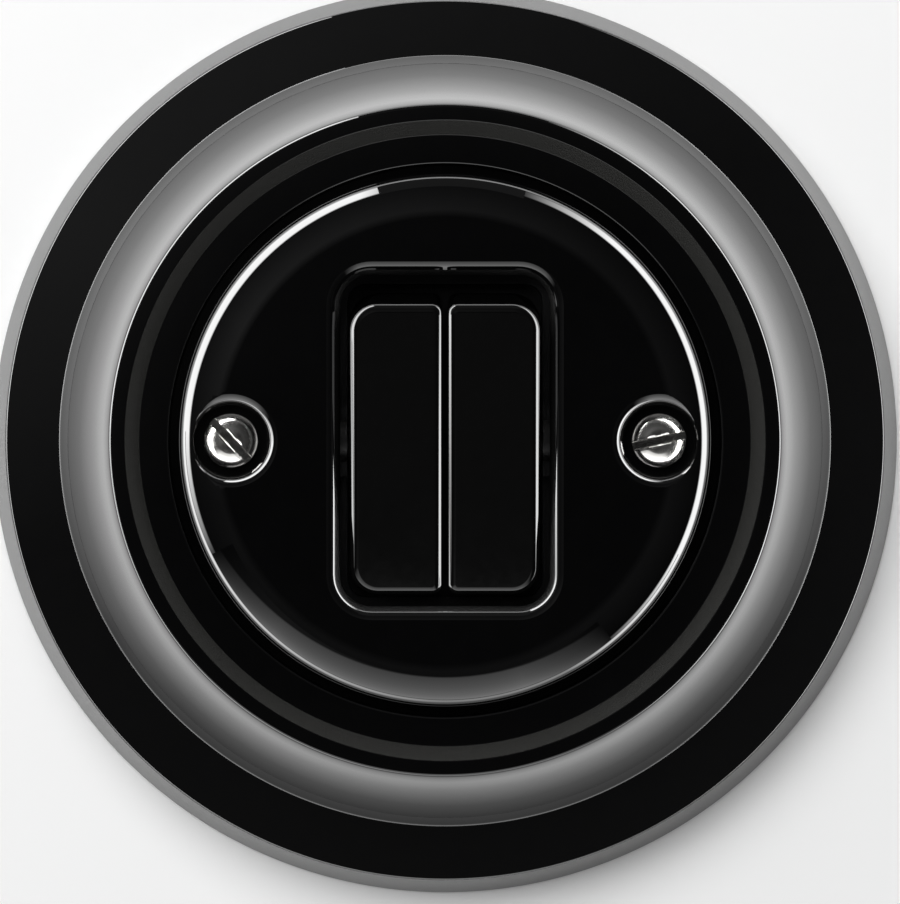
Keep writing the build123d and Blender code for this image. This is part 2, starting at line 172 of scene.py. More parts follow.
# finishes, one per material slot of the record, one for faces left bare of glaze or polish, one lighter matte
# band whose tone is a painted dim reflection, and one near-black pin whose colour is painted shade in the key
# slits
finishes = {
    "black_glaze": dict(
        dark=(0.0012, 0.0012, 0.0013), light=(0.0024, 0.0024, 0.0025), rough=(0.012, 0.03),
        grain=dict(Scale=70.0, Fine=6.0), bump=0.0000025, coat=0.4),
    # lighter matte tone for the frame's narrow inner slope: a painted dim reflection, not a colour of the
    # glaze
    "painted_reflection_band": dict(
        dark=(0.0085, 0.0085, 0.0078), light=(0.0125, 0.0125, 0.0115), rough=(0.6, 0.75),
        grain=dict(Scale=900.0, Fine=5.0), bump=0.00002, specular=0.1),
    "bare_wall": dict(
        dark=(0.0015, 0.0015, 0.0015), light=(0.003, 0.003, 0.0029), rough=(0.5, 0.65),
        grain=dict(Scale=900.0, Fine=5.0), bump=0.00001, specular=0.15),
    "key_black": dict(
        dark=(0.0012, 0.0012, 0.0012), light=(0.0024, 0.0024, 0.0024), rough=(0.03, 0.06),
        grain=dict(Scale=120.0, Fine=7.0), bump=0.000001),
    "nickel": dict(
        dark=(0.62, 0.61, 0.59), light=(0.72, 0.71, 0.69), rough=(0.12, 0.24), metal=1.0,
        grain=dict(Scale=500.0, Fine=5.0), bump=0.000003),
    "steel": dict(
        dark=(0.42, 0.42, 0.43), light=(0.58, 0.58, 0.59), rough=(0.22, 0.4), metal=1.0,
        grain=dict(Scale=500.0, Fine=6.0), bump=0.000008, wear=0.4, bright=(0.75, 0.75, 0.76)),
    # near-black pin colour: painted shade, standing in for the shade where the steel pin shows through the
    # slits
    "painted_shade_pin": dict(
        dark=(0.01, 0.01, 0.01), light=(0.02, 0.02, 0.02), rough=(0.4, 0.55), metal=1.0,
        grain=dict(Scale=500.0, Fine=6.0), bump=0.000008),
    "zinc_plate": dict(
        dark=(0.46, 0.47, 0.5), light=(0.66, 0.67, 0.69), rough=(0.28, 0.5), metal=1.0,
        grain=dict(Scale=240.0, Fine=9.0), bump=0.00001, wear=0.5, bright=(0.8, 0.81, 0.83)),
    "brass": dict(
        dark=(0.5, 0.34, 0.12), light=(0.74, 0.56, 0.26), rough=(0.2, 0.38), metal=1.0,
        grain=dict(Scale=420.0, Fine=6.0), bump=0.000008, wear=0.4, bright=(0.86, 0.7, 0.38)),
    "carrier_moulding": dict(
        dark=(0.008, 0.008, 0.0085), light=(0.016, 0.016, 0.017), rough=(0.42, 0.6),
        grain=dict(Scale=800.0, Fine=4.0), bump=0.00002, dust=0.1),
    "plunger_moulding": dict(
        dark=(0.66, 0.65, 0.6), light=(0.78, 0.77, 0.73), rough=(0.35, 0.5),
        grain=dict(Scale=700.0, Fine=4.0), bump=0.000012),
    "housing_moulding": dict(
        dark=(0.06, 0.06, 0.064), light=(0.095, 0.095, 0.1), rough=(0.45, 0.65),
        grain=dict(Scale=900.0, Fine=4.0), bump=0.00003, wear=0.25, bright=(0.2, 0.2, 0.21), dust=0.25),
    "component_black": dict(
        dark=(0.014, 0.014, 0.014), light=(0.028, 0.028, 0.028), rough=(0.4, 0.6),
        grain=dict(Scale=900.0, Fine=4.0), bump=0.00002),
    "board": dict(
        dark=(0.016, 0.11, 0.045), light=(0.035, 0.19, 0.08), rough=(0.25, 0.4),
        grain=dict(Scale=320.0, Fine=7.0), bump=0.00001),
    "ferrite": dict(
        dark=(0.03, 0.03, 0.034), light=(0.065, 0.065, 0.07), rough=(0.45, 0.7),
        grain=dict(Scale=700.0, Fine=5.0), bump=0.00003),
    "copper": dict(
        dark=(0.38, 0.13, 0.05), light=(0.66, 0.28, 0.13), rough=(0.2, 0.36), metal=1.0,
        grain=dict(Scale=300.0, Fine=6.0), bump=0.00001, stretch=(1.0, 12.0, 1.0)),
    "capacitor_case": dict(
        dark=(0.62, 0.38, 0.03), light=(0.78, 0.52, 0.06), rough=(0.25, 0.4),
        grain=dict(Scale=600.0, Fine=5.0), bump=0.00001),
    "fuse_glass": dict(
        dark=(0.86, 0.92, 0.9), light=(0.95, 0.98, 0.96), rough=(0.02, 0.06),
        grain=dict(Scale=300.0, Fine=5.0), bump=0.000001, clear=0.9),
}
dustColour = (0.42, 0.4, 0.37)
toneRange = (0.3, 0.7)       # most of the grain lies between these
coatRough = 0.02


def finishMaterial(name, spec):
    result, tree, shader = newMaterial("finish_" + name)
    place = tree.nodes.new("ShaderNodeTexCoord").outputs["Object"]
    if "stretch" in spec:
        mapping = tree.nodes.new("ShaderNodeMapping")
        mapping.inputs["Scale"].default_value = spec["stretch"]
        tree.links.new(place, mapping.inputs["Vector"])
        place = mapping.outputs["Vector"]
    grain = placeGroup(tree, surfaceGrain, place, spec["grain"])
    colour = mixColours(tree, grain["Tone"], spec["dark"], spec["light"])
    if "wear" in spec:
        worn = placeGroup(tree, edgeWear, place, dict(Amount=spec["wear"]))
        colour = mixColours(tree, worn["Mask"], colour, spec["bright"])
    if "dust" in spec:
        dusty = placeGroup(tree, restingDust, place, dict(Amount=spec["dust"]))
        colour = mixColours(tree, dusty["Mask"], colour, dustColour)
    rough = tree.nodes.new("ShaderNodeMapRange")
    rough.inputs["From Min"].default_value, rough.inputs["From Max"].default_value = toneRange
    rough.inputs["To Min"].default_value, rough.inputs["To Max"].default_value = spec["rough"]
    tree.links.new(grain["Tone"], rough.inputs["Value"])
    bump = tree.nodes.new("ShaderNodeBump")
    bump.inputs["Distance"].default_value = spec["bump"]
    tree.links.new(grain["Height"], bump.inputs["Height"])
    tree.links.new(colour, shader.inputs["Base Color"])
    tree.links.new(rough.outputs["Result"], shader.inputs["Roughness"])
    tree.links.new(bump.outputs["Normal"], shader.inputs["Normal"])
    shader.inputs["Metallic"].default_value = spec.get("metal", 0.0)
    shader.inputs["Specular IOR Level"].default_value = spec.get("specular", 0.5)
    shader.inputs["Coat Weight"].default_value = spec.get("coat", 0.0)
    shader.inputs["Coat Roughness"].default_value = coatRough
    shader.inputs["Transmission Weight"].default_value = spec.get("clear", 0.0)
    return result


material = {name: finishMaterial(name, spec) for name, spec in finishes.items()}
# the pin between the keys takes the near-black painted-shade finish instead of its steel slot
finishOf = {**slotOf, "key_axle": "painted_shade_pin"}
for name, node in frame["nodes"].items():
    for slot in node.material_slots:
        slot.material = material[finishOf[name]]
print("finishes made:", len(material))


# mesh helpers; pieces are drawn in millimetres, with y running into the wall, and scaled at the end
meshSizes = dict(
    merge=0.0005, sliver=0.0002, level=0.0001, roundSteps=14, barSides=64, sharpEdge=math.radians(32.0),
    faceWeight=100,
)


def tidyShell(bm):
    bmesh.ops.remove_doubles(bm, verts=bm.verts[:], dist=meshSizes["merge"])
    bmesh.ops.dissolve_degenerate(bm, edges=bm.edges[:], dist=meshSizes["sliver"])
    bmesh.ops.recalc_face_normals(bm, faces=bm.faces[:])


def bevelCorner(bm, vert, offset, segments):
    bmesh.ops.bevel(bm, geom=[vert], offset=offset, offset_type="ABSOLUTE", segments=segments, profile=0.5,
                    affect="VERTICES", material=-1)


def bevelEdges(bm, edges, offset, segments):
    bmesh.ops.bevel(bm, geom=edges, offset=offset, offset_type="OFFSET", segments=segments, profile=0.5,
                    affect="EDGES", material=-1)


def spinRound(bm, steps):
    bmesh.ops.spin(bm, geom=bm.verts[:] + bm.edges[:], cent=(0, 0, 0), axis=(0, 1, 0), dvec=(0, 0, 0),
                   angle=2 * math.pi, steps=steps, use_merge=True, use_duplicate=False)


def turnedShape(corners, steps, closed=False):
    # corners are (radius, height from the wall), then (rounding, segments) if round; open ends are capped
    bm = bmesh.new()
    verts = [bm.verts.new((radius, -height, 0.0)) for radius, height, *_ in corners]
    for first, second in zip(verts, verts[1:] + verts[:1] if closed else verts[1:]):
        bm.edges.new((first, second))
    for vert, (_, _, *rounded) in zip(verts, corners):
        if rounded:
            rounding, segments = rounded
            before, after = [(edge.other_vert(vert).co - vert.co) for edge in vert.link_edges]
            turn = math.pi - before.angle(after)
            bevelCorner(bm, vert, rounding * math.tan(turn / 2), segments)
    spinRound(bm, steps)
    bmesh.ops.remove_doubles(bm, verts=bm.verts[:], dist=meshSizes["merge"])
    bmesh.ops.holes_fill(bm, edges=[edge for edge in bm.edges if edge.is_boundary], sides=0)
    tidyShell(bm)
    return bm


def drawOut(bm, face, shift):
    grown = bmesh.ops.extrude_face_region(bm, geom=[face])["geom"]
    bmesh.ops.translate(bm, verts=[item for item in grown if isinstance(item, bmesh.types.BMVert)], vec=shift)


def roundedPlate(width, length, roundings, back, front):
    # roundings run from lower left anticlockwise; the plate lies between two values of y
    bm = bmesh.new()
    places = [(x * width / 2, back, z * length / 2) for x, z in ((-1, -1), (1, -1), (1, 1), (-1, 1))]
    verts = [bm.verts.new(place) for place in places]
    bm.faces.new(verts)
    for vert, rounding in zip(verts, roundings):
        bevelCorner(bm, vert, rounding, meshSizes["roundSteps"])
    drawOut(bm, bm.faces[:][0], (0, front - back, 0))
    bmesh.ops.recalc_face_normals(bm, faces=bm.faces[:])
    return bm


def liesAt(item, y):
    return all(abs(vert.co.y - y) < meshSizes["level"] for vert in item.verts)


def faceAt(bm, y):
    return [face for face in bm.faces if liesAt(face, y)][0]


def crossBar(radius, length, y, z):
    bm = bmesh.new()
    bmesh.ops.create_cone(bm, cap_ends=True, segments=meshSizes["barSides"], radius1=radius, radius2=radius,
                          depth=length)
    place = Matrix.Translation((0, y, z)) @ Matrix.Rotation(math.pi / 2, 4, "Y")
    bmesh.ops.transform(bm, matrix=place, verts=bm.verts[:])
    return bm


def plainBlock(size, place):
    bm = bmesh.new()
    bmesh.ops.create_cube(bm, size=1.0)
    bmesh.ops.scale(bm, vec=size, verts=bm.verts[:])
    bmesh.ops.translate(bm, vec=place, verts=bm.verts[:])
    return bm


def asObject(bm, name):
    mesh = bpy.data.meshes.new(name)
    bm.to_mesh(mesh)
    bm.free()
    piece = bpy.data.objects.new(name, mesh)
    scene.collection.objects.link(piece)
    return piece


def combine(bm, tools):
    # tools are (shape, DIFFERENCE or UNION), applied in turn
    body = asObject(bm, "blank")
    helpers = [asObject(shape, "tool") for shape, _ in tools]
    for helper, (_, operation) in zip(helpers, tools):
        step = body.modifiers.new("cut", "BOOLEAN")
        step.operation = operation
        step.solver = "EXACT"
        step.object = helper
    solved = body.evaluated_get(bpy.context.evaluated_depsgraph_get())
    result = bmesh.new()
    result.from_mesh(bpy.data.meshes.new_from_object(solved))
    for spare in [body] + helpers:
        bpy.data.objects.remove(spare)
    tidyShell(result)
    return result


def finishPiece(name, bm, body, node, extra=()):
    bmesh.ops.scale(bm, vec=(mm, mm, mm), verts=bm.verts[:])
    for face in bm.faces:
        face.smooth = True
    for edge in bm.edges:
        edge.smooth = len(edge.link_faces) == 2 and edge.calc_face_angle() < meshSizes["sharpEdge"]
    piece = asObject(bm, name)
    for finish in (slotOf[node], *extra):
        piece.data.materials.append(material[finish])
    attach(piece, body)
    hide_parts(node)
    return piece


def evenShading(piece):
    weighted = piece.modifiers.new("even shading", "WEIGHTED_NORMAL")
    weighted.keep_sharp = True
    weighted.weight = meshSizes["faceWeight"]


# outer frame; a round is (radius, segments), here and below
frameSizes = dict(
    ledgeRadius=27.0, boreRadius=31.0, landRadius=34.3, crestInner=35.9, crestOuter=37.5, footRadius=43.4,
    shoulderRadius=49.5, outerRadius=51.199, hollowRadius=40.8,
    hollow=3.6, ledge=6.6, land=11.2, crest=12.4, shoulder=6.0, shoulderFall=0.2, bulge=0.35, steps=288,
    boreRound=(0.25, 5), landRound=(0.3, 4), crestInnerRound=(0.3, 5), crestOuterRound=(0.4, 6),
    bellyRound=(50.0, 20), footRound=(0.12, 3), shoulderRound=(0.25, 6), outerRound=(0.3, 4),
)


def buildFrame(s):
    slope = Vector((s["footRadius"] - s["crestOuter"], s["shoulder"] - s["crest"]))
    outward = Vector((-slope.y, slope.x)).normalized()
    belly = Vector((s["crestOuter"], s["crest"])) + slope * 0.5 + outward * s["bulge"]
    corners = [
        (s["ledgeRadius"], s["hollow"]),
        (s["ledgeRadius"], s["ledge"]),
        (s["boreRadius"], s["ledge"]),
        (s["boreRadius"], s["land"], *s["boreRound"]),
        (s["landRadius"], s["land"], *s["landRound"]),
        (s["crestInner"], s["crest"], *s["crestInnerRound"]),
        (s["crestOuter"], s["crest"], *s["crestOuterRound"]),
        (belly.x, belly.y, *s["bellyRound"]),
        (s["footRadius"], s["shoulder"], *s["footRound"]),
        (s["shoulderRadius"], s["shoulder"] - s["shoulderFall"], *s["shoulderRound"]),
        (s["outerRadius"], 0.0, *s["outerRound"]),
        (s["hollowRadius"], 0.0),
        (s["hollowRadius"], s["hollow"]),
    ]
    bm = turnedShape(corners, s["steps"], closed=True)
    for face in bm.faces:                     # the inner slope gets a lighter matte tone: a painted dim reflection
        centre = face.calc_center_median()
        radius = math.hypot(centre.x, centre.z)
        onSlope = s["landRadius"] < radius < s["crestInner"] and s["land"] < -centre.y < s["crest"]
        face.material_index = 1 if onSlope else 0
    return finishPiece("frame_ring", bm, "base", "outer_frame", extra=["painted_reflection_band"])


frameRing = buildFrame(frameSizes)
evenShading(frameRing)
print("outer frame turned:", len(frameRing.data.polygons), "faces")


# push keys
keySizes = dict(
    width=10.45, length=33.0, gap=0.45, outerCorner=3.2, innerCorner=1.25, edge=0.7, edgeDepth=0.5,
    edgeRound=(0.3, 6), wall=1.5, face=2.0, skirt=1.6, depth=7.98, tilt=math.radians(8.0), hub=2.6,
    hubBlock=6.4, hubBoss=0.15, bossFrom=0.01, bore=1.06, pivot=5.92138, nose=0.9, noseReach=2.4,
    noseInset=6.5, spare=1.0, lap=0.05,
)


def buildKey(side, s):
    # drawn level about the axle as the left key, then mirrored for the right one, tilted and set in place
    roundings = [s["outerCorner"], s["innerCorner"], s["innerCorner"], s["outerCorner"]]
    stretch = s["edge"] / s["edgeDepth"]     # drawn too deep at first, so that the edge ends up shallow
    front = -s["depth"] * stretch
    key = roundedPlate(s["width"], s["length"], roundings, s["skirt"] * stretch, front)
    bevelEdges(key, list(faceAt(key, front).edges), s["edge"], 1)     # one flat slope
    bmesh.ops.scale(key, vec=(1, 1 / stretch, 1), verts=key.verts[:])
    levels = (-s["depth"], s["edgeDepth"] - s["depth"])
    loops = [edge for edge in key.edges if any(liesAt(edge, level) for level in levels)]
    bevelEdges(key, loops, *s["edgeRound"])
    pocketWidth = s["width"] - 2 * s["wall"]
    pocketEnd = s["length"] / 2 - s["wall"]
    pocketFront = s["depth"] - s["face"]
    noseOffset = s["length"] / 2 - s["noseInset"]
    tools = []
    for end in (-1, 1):
        size = (pocketWidth, pocketFront + s["skirt"] + s["spare"], pocketEnd - s["hubBlock"] / 2)
        place = (0, (s["skirt"] + s["spare"] - pocketFront) / 2, end * (s["hubBlock"] / 2 + pocketEnd) / 2)
        tools.append((plainBlock(size, place), "DIFFERENCE"))
    webDepth = s["noseReach"] + pocketFront + s["lap"]
    webSize = (pocketWidth + s["lap"], webDepth, 2 * s["nose"])
    webPlace = (0, s["noseReach"] - webDepth / 2, noseOffset)
    tools += [
        (crossBar(s["hub"], s["width"] + 2 * s["hubBoss"], 0, 0), "UNION"),
        (plainBlock(webSize, webPlace), "UNION"),
        (crossBar(s["nose"], pocketWidth, s["noseReach"], noseOffset), "UNION"),
        (crossBar(s["bore"], s["width"] + s["spare"], 0, 0), "DIFFERENCE"),
    ]
    key = combine(key, tools)
    bossStart = s["width"] / 2 + s["bossFrom"]
    for face in key.faces:                    # the bosses on the hub are left unpolished
        face.material_index = 1 if abs(face.calc_center_median().x) > bossStart else 0
    if side > 0:
        bmesh.ops.scale(key, vec=(-1, 1, 1), verts=key.verts[:])
        bmesh.ops.reverse_faces(key, faces=key.faces[:])
    bmesh.ops.rotate(key, cent=(0, 0, 0), matrix=Matrix.Rotation(s["tilt"], 3, "X"), verts=key.verts[:])
    bmesh.ops.translate(key, vec=(side * (s["gap"] + s["width"]) / 2, -s["pivot"], 0), verts=key.verts[:])
    body = "left_key" if side < 0 else "right_key"
    return finishPiece(body + "_cap", key, body, body, extra=["bare_wall"])


for side in (-1, 1):
    evenShading(buildKey(side, keySizes))
print("push keys made")


# cover disc
discSizes = dict(
    radius=30.0, ledge=6.6, face=13.2, rollWidth=5.0, rollDrop=2.1, rollSteps=20, backRound=(0.3, 3),
    steps=288, sideClearance=1.1, endClearance=1.15, apertureCorner=3.5, apertureRim=1.8, lip=0.02,
    pocketWidth=27.2, pocketSpare=1.0, pocket=9.2214, spare=1.0, steepFace=0.73,
    recessX=24.0, recessRadius=4.0, recessFloor=10.9, recessRim=1.5, recessSteps=96, shankHole=2.1,
)


def rollPoint(s, share):
    # point on the quarter ellipse between the edge of the disc and its face
    turn = share * math.pi / 2
    out = s["radius"] - s["rollWidth"] * (1 - math.cos(turn))
    return (out, s["face"] - s["rollDrop"] * (1 - math.sin(turn)))


def flaredCutter(width, length, corner, rim, top, reach, spare):
    # a plug under a wider plate, with the corner between them filled by a quarter round
    spread = 2 * rim
    bm = roundedPlate(width + 2 * spread, length + 2 * spread, [corner + spread] * 4, top, top - spare)
    seat = faceAt(bm, top)
    bmesh.ops.inset_region(bm, faces=[seat], thickness=spread, use_even_offset=True)
    junction = list(seat.edges)
    drawOut(bm, seat, (0, reach, 0))
    bmesh.ops.delete(bm, geom=[seat], context="FACES_ONLY")
    bevelEdges(bm, junction, rim, meshSizes["roundSteps"])
    bmesh.ops.recalc_face_normals(bm, faces=bm.faces[:])
    return bm


def buildDisc(s, k):
    corners = [
        (s["radius"] - s["rollWidth"], s["ledge"]),
        (s["radius"], s["ledge"], *s["backRound"]),
    ]
    corners += [rollPoint(s, step / s["rollSteps"]) for step in range(s["rollSteps"] + 1)]
    disc = turnedShape(corners, s["steps"])
    top = -(s["face"] + s["lip"])
    spare = s["spare"]
    keysHalf = k["gap"] / 2 + k["width"]
    keysEnd = k["length"] / 2 * math.cos(k["tilt"]) + k["depth"] * math.sin(k["tilt"])
    width = 2 * (keysHalf + s["sideClearance"])
    length = 2 * (keysEnd + s["endClearance"])
    reach = s["face"] - s["ledge"] + 2 * spare
    aperture = flaredCutter(width, length, s["apertureCorner"], s["apertureRim"], top, reach, spare)
    pocketLength = length + 2 * s["pocketSpare"]
    pocketCorners = [s["apertureCorner"]] * 4
    pocket = roundedPlate(s["pocketWidth"], pocketLength, pocketCorners, spare - s["ledge"], -s["pocket"])
    tools = [(aperture, "DIFFERENCE"), (pocket, "DIFFERENCE")]
    mouth = s["recessRadius"] + 2 * s["recessRim"]
    for x in (-s["recessX"], s["recessX"]):
        sink = turnedShape(
            [
                (s["shankHole"], s["ledge"] - spare),
                (s["shankHole"], s["recessFloor"]),
                (s["recessRadius"], s["recessFloor"]),
                (s["recessRadius"], -top, s["recessRim"], meshSizes["roundSteps"]),
                (mouth, -top),
                (mouth, spare - top),
            ],
            s["recessSteps"],
        )
        bmesh.ops.translate(sink, vec=(x, 0, 0), verts=sink.verts[:])
        tools.append((sink, "DIFFERENCE"))
    disc = combine(disc, tools)
    wallX, wallZ = width / 2 + s["apertureRim"], length / 2 + s["apertureRim"]
    for face in disc.faces:                   # the steep walls of the aperture are left unglazed
        centre = face.calc_center_median()
        inside = abs(centre.x) < wallX and abs(centre.z) < wallZ
        face.material_index = 1 if inside and abs(face.normal.y) < s["steepFace"] else 0
    return finishPiece("cover_plate", disc, "base", "cover_disc", extra=["bare_wall"])


coverPlate = buildDisc(discSizes, keySizes)
evenShading(coverPlate)
print("cover disc cut:", len(coverPlate.data.polygons), "faces")


# cover screws
screwSizes = dict(
    headRadius=3.1, rimHeight=0.8, dome=1.1, shank=1.75, tip=1.8, seat=10.9, slotWidth=0.8, slotDepth=1.1,
    slotEdge=(0.36, 3), crownRadius=2.0, crownFall=0.22, crownRound=(2.0, 12), tipRound=(0.3, 3),
    seatRound=(0.15, 3), rimRound=(0.3, 4), lipAngle=math.radians(40.0), lipGap=0.001, lipLow=0.05,
    steps=96, x=24.0, slotAngles={"left": -47.0, "right": 12.0},
)


def buildScrew(side, s):
    top = s["seat"] + s["rimHeight"] + s["dome"]
    corners = [
        (0.0, s["tip"]),
        (s["shank"], s["tip"], *s["tipRound"]),
        (s["shank"], s["seat"]),
        (s["headRadius"], s["seat"], *s["seatRound"]),
        (s["headRadius"], s["seat"] + s["rimHeight"], *s["rimRound"]),
        (s["crownRadius"], top - s["crownFall"], *s["crownRound"]),
        (0.0, top),
    ]
    slot = plainBlock((3 * s["headRadius"], 2 * s["slotDepth"], s["slotWidth"]), (0, -top, 0))
    screw = combine(turnedShape(corners, s["steps"]), [(slot, "DIFFERENCE")])
    lipZ, lipLow = s["slotWidth"] / 2, top - s["dome"] + s["lipLow"]
    lips = [edge for edge in screw.edges
            if edge.is_convex and edge.calc_face_angle() > s["lipAngle"]
            and all(abs(abs(vert.co.z) - lipZ) < s["lipGap"] and -vert.co.y > lipLow for vert in edge.verts)]
    bevelEdges(screw, lips, *s["slotEdge"])
    turn = Matrix.Rotation(-math.radians(s["slotAngles"][side]), 3, "Y")
    bmesh.ops.rotate(screw, cent=(0, 0, 0), matrix=turn, verts=screw.verts[:])
    bmesh.ops.translate(screw, vec=(-s["x"] if side == "left" else s["x"], 0, 0), verts=screw.verts[:])
    return finishPiece("screw_" + side, screw, "base", "cover_screw_" + side)


for side in ("left", "right"):
    evenShading(buildScrew(side, screwSizes))
print("cover screws made")


# return springs
springSizes = dict(
    coil=1.85, wire=0.2, wireSides=12, turns=5, perTurn=40, x=5.45, z=10.2367, low=-2.76, high=2.4056,
    floor=-3.0, stroke=2.143,
)


def buildSpring(side, s):
    x = -s["x"] if side == "left" else s["x"]
    bm = bmesh.new()
    bmesh.ops.create_circle(bm, cap_ends=False, radius=s["wire"], segments=s["wireSides"])
    bmesh.ops.translate(bm, vec=(x + s["coil"], -s["low"], s["z"]), verts=bm.verts[:])
    steps = s["turns"] * s["perTurn"]
    rise = (s["high"] - s["low"]) / steps
    bmesh.ops.spin(bm, geom=bm.verts[:] + bm.edges[:], cent=(x, 0, s["z"]), axis=(0, 1, 0),
                   dvec=(0, -rise, 0), angle=2 * math.pi * s["turns"], steps=steps, use_merge=False,
                   use_duplicate=False)
    bmesh.ops.holes_fill(bm, edges=[edge for edge in bm.edges if edge.is_boundary], sides=0)
    tidyShell(bm)
    spring = finishPiece(side + "_spring", bm, "base", side + "_return_spring")
    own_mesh(spring)


for side in ("left", "right"):
    buildSpring(side, springSizes)
print("return springs wound")


# stage: a wall that takes the shadow and a pale floor, both clear from behind
stageSizes = dict(
    wallRadius=0.074, wallHole=0.0509, wallSteps=96, wallColour=(0.92, 0.92, 0.92), wallLift=0.02,
    floor=-0.13, floorSize=8.0, floorColour=(0.88, 0.88, 0.87), floorLift=0.62, rough=0.9, merge=1e-6,
)
white = (1.0, 1.0, 1.0, 1.0)


def stageMaterial(name, colour, lift):
    # lift is what the camera alone sees added to the lit colour
    result, tree, shader = newMaterial(name)
    seen = tree.nodes.new("ShaderNodeLightPath").outputs["Is Camera Ray"]
    tree.links.new(mathNode(tree, "MULTIPLY", seen, lift), shader.inputs["Emission Strength"])
    shader.inputs["Emission Color"].default_value = white
    shader.inputs["Base Color"].default_value = (*colour, 1.0)
    shader.inputs["Roughness"].default_value = stageSizes["rough"]
    shader.inputs["Specular IOR Level"].default_value = 0.0
    sides = tree.nodes.new("ShaderNodeMixShader")
    tree.links.new(tree.nodes.new("ShaderNodeNewGeometry").outputs["Backfacing"], sides.inputs[0])
    tree.links.new(shader.outputs[0], sides.inputs[1])
    tree.links.new(tree.nodes.new("ShaderNodeBsdfTransparent").outputs[0], sides.inputs[2])
    tree.links.new(sides.outputs[0], tree.nodes["Material Output"].inputs["Surface"])
    return result


def buildWall(s):
    bm = bmesh.new()
    bm.edges.new([bm.verts.new((radius, 0.0, 0.0)) for radius in (s["wallHole"], s["wallRadius"])])
    spinRound(bm, s["wallSteps"])
    bmesh.ops.remove_doubles(bm, verts=bm.verts[:], dist=s["merge"])
    bmesh.ops.recalc_face_normals(bm, faces=bm.faces[:])
    if bm.faces[:][0].normal.y > 0:
        bmesh.ops.reverse_faces(bm, faces=bm.faces[:])
    wall = asObject(bm, "wall_ground")
    wall.data.materials.append(stageMaterial("wall_white", s["wallColour"], s["wallLift"]))


def buildFloor(s):
    bm = bmesh.new()
    bmesh.ops.create_grid(bm, x_segments=1, y_segments=1, size=s["floorSize"] / 2)
    bmesh.ops.translate(bm, vec=(0, 0, s["floor"]), verts=bm.verts[:])
    floor = asObject(bm, "floor_pale")
    floor.data.materials.append(stageMaterial("floor_white", s["floorColour"], s["floorLift"]))
    floor.visible_glossy = False
    floor.visible_diffuse = False


buildWall(stageSizes)
buildFloor(stageSizes)
print("wall and floor placed")


# cards seen only in reflections: each is a patch of a dome round the object or, where near is given, a strip
# that bends round the rim of the disc; its light is the sum of its layers, and a layer has ramps of
# (degrees, level) off the view axis, round it from +X and, where dip is given, down from the level
rimSpot = dict(radius=0.0292, height=0.0123)
cardSizes = dict(radius=0.6, arcSteps=16, turnSteps=64, merge=1e-6)
boxOff = [(70, 1.0), (77, 0.3)]
cards = {
    "flag_front": [dict(
        off=[(0, 0.0), (4, 0.05), (12, 0.5), (30, 0.3), (51, 0.15), (58, 0.7), (76.4, 1.0)],
        round=[(45, 0.28), (150, 1.0), (195, 0.28), (405, 0.28)], glow=0.36)],
    "flag_top": [dict(off=[(47, 1.0), (77, 1.0)], round=[(72, 1.0), (105, 1.0)], glow=0.12, radius=0.595)],
    "softbox_left": [dict(
        off=[(47, 0.0), (51, 1.0)] + boxOff,
        round=[(105, 0.7), (109, 1.0), (178, 1.0), (206, 0.05)], glow=16.0, near=0.04)],
    "softbox_right": [dict(
        off=[(51, 0.0), (55, 1.0)] + boxOff,
        round=[(-50, 0.05), (-26, 1.0), (50, 1.0), (72, 0.05)], glow=16.0, near=0.04)],
    "reflector_low": [dict(
        off=[(18, 1.0), (77, 1.0)],
        round=[(206, 0.04), (228, 1.0), (288, 1.0), (310, 0.04)],
        dip=[(18, 0.03), (20, 0.25), (35, 0.42), (50, 0.65), (66, 1.0), (77, 0.5)], glow=3.2, radius=0.58)],
    "rim_light": [dict(
        off=[(61, 0.0), (65, 1.0)] + boxOff,
        round=[(178, 1.0), (206, 0.8), (240, 0.42), (270, 0.22), (298, 0.24), (312, 0.7), (334, 1.0)],
        glow=16.0, near=0.037)],
    "collar": [dict(
        off=[(76.4, 1.0), (82, 1.0)],
        round=[(-90, 0.15), (-30, 0.16), (0, 0.34), (30, 0.56), (60, 0.58), (90, 0.54), (120, 0.58),
               (150, 0.62), (180, 0.43), (210, 0.18), (270, 0.15)], glow=7.3)],
    "tent": [
        dict(off=[(82, 0.1), (86.1, 0.4), (87.6, 0.68), (89.1, 0.8), (90.6, 0.66), (92, 0.46), (93.5, 0.31),
                  (95, 0.18), (96.5, 0.08), (98, 0.04), (100, 0.0), (110, 0.0)],
             round=[(-90, 0.58), (0, 0.86), (90, 1.0), (180, 0.86), (270, 0.58)], glow=7.4),
        dict(off=[(82, 0.1), (86, 0.15), (89, 0.2), (92, 0.26), (95, 0.28), (98, 0.26), (103, 0.23),
                  (110, 0.2)],
             round=[(-90, 0.24), (-45, 0.28), (0, 0.66), (90, 1.0), (150, 1.0), (180, 0.76), (225, 0.28),
                    (270, 0.24)],
             glow=7.4)],
}


def levelNode(tree, value, stops):
    # piecewise linear level over a range of degrees
    first, last = stops[0][0], stops[-1][0]
    span = tree.nodes.new("ShaderNodeMapRange")
    span.inputs["From Min"].default_value = first
    span.inputs["From Max"].default_value = last
    tree.links.new(value, span.inputs["Value"])
    ramp = tree.nodes.new("ShaderNodeValToRGB")
    marks = ramp.color_ramp.elements
    for degrees, _ in stops[1:-1]:
        marks.new((degrees - first) / (last - first))
    for mark, (_, level) in zip(marks, stops):
        mark.color = (level, level, level, 1.0)
    tree.links.new(span.outputs["Result"], ramp.inputs["Fac"])
    return ramp.outputs["Color"]


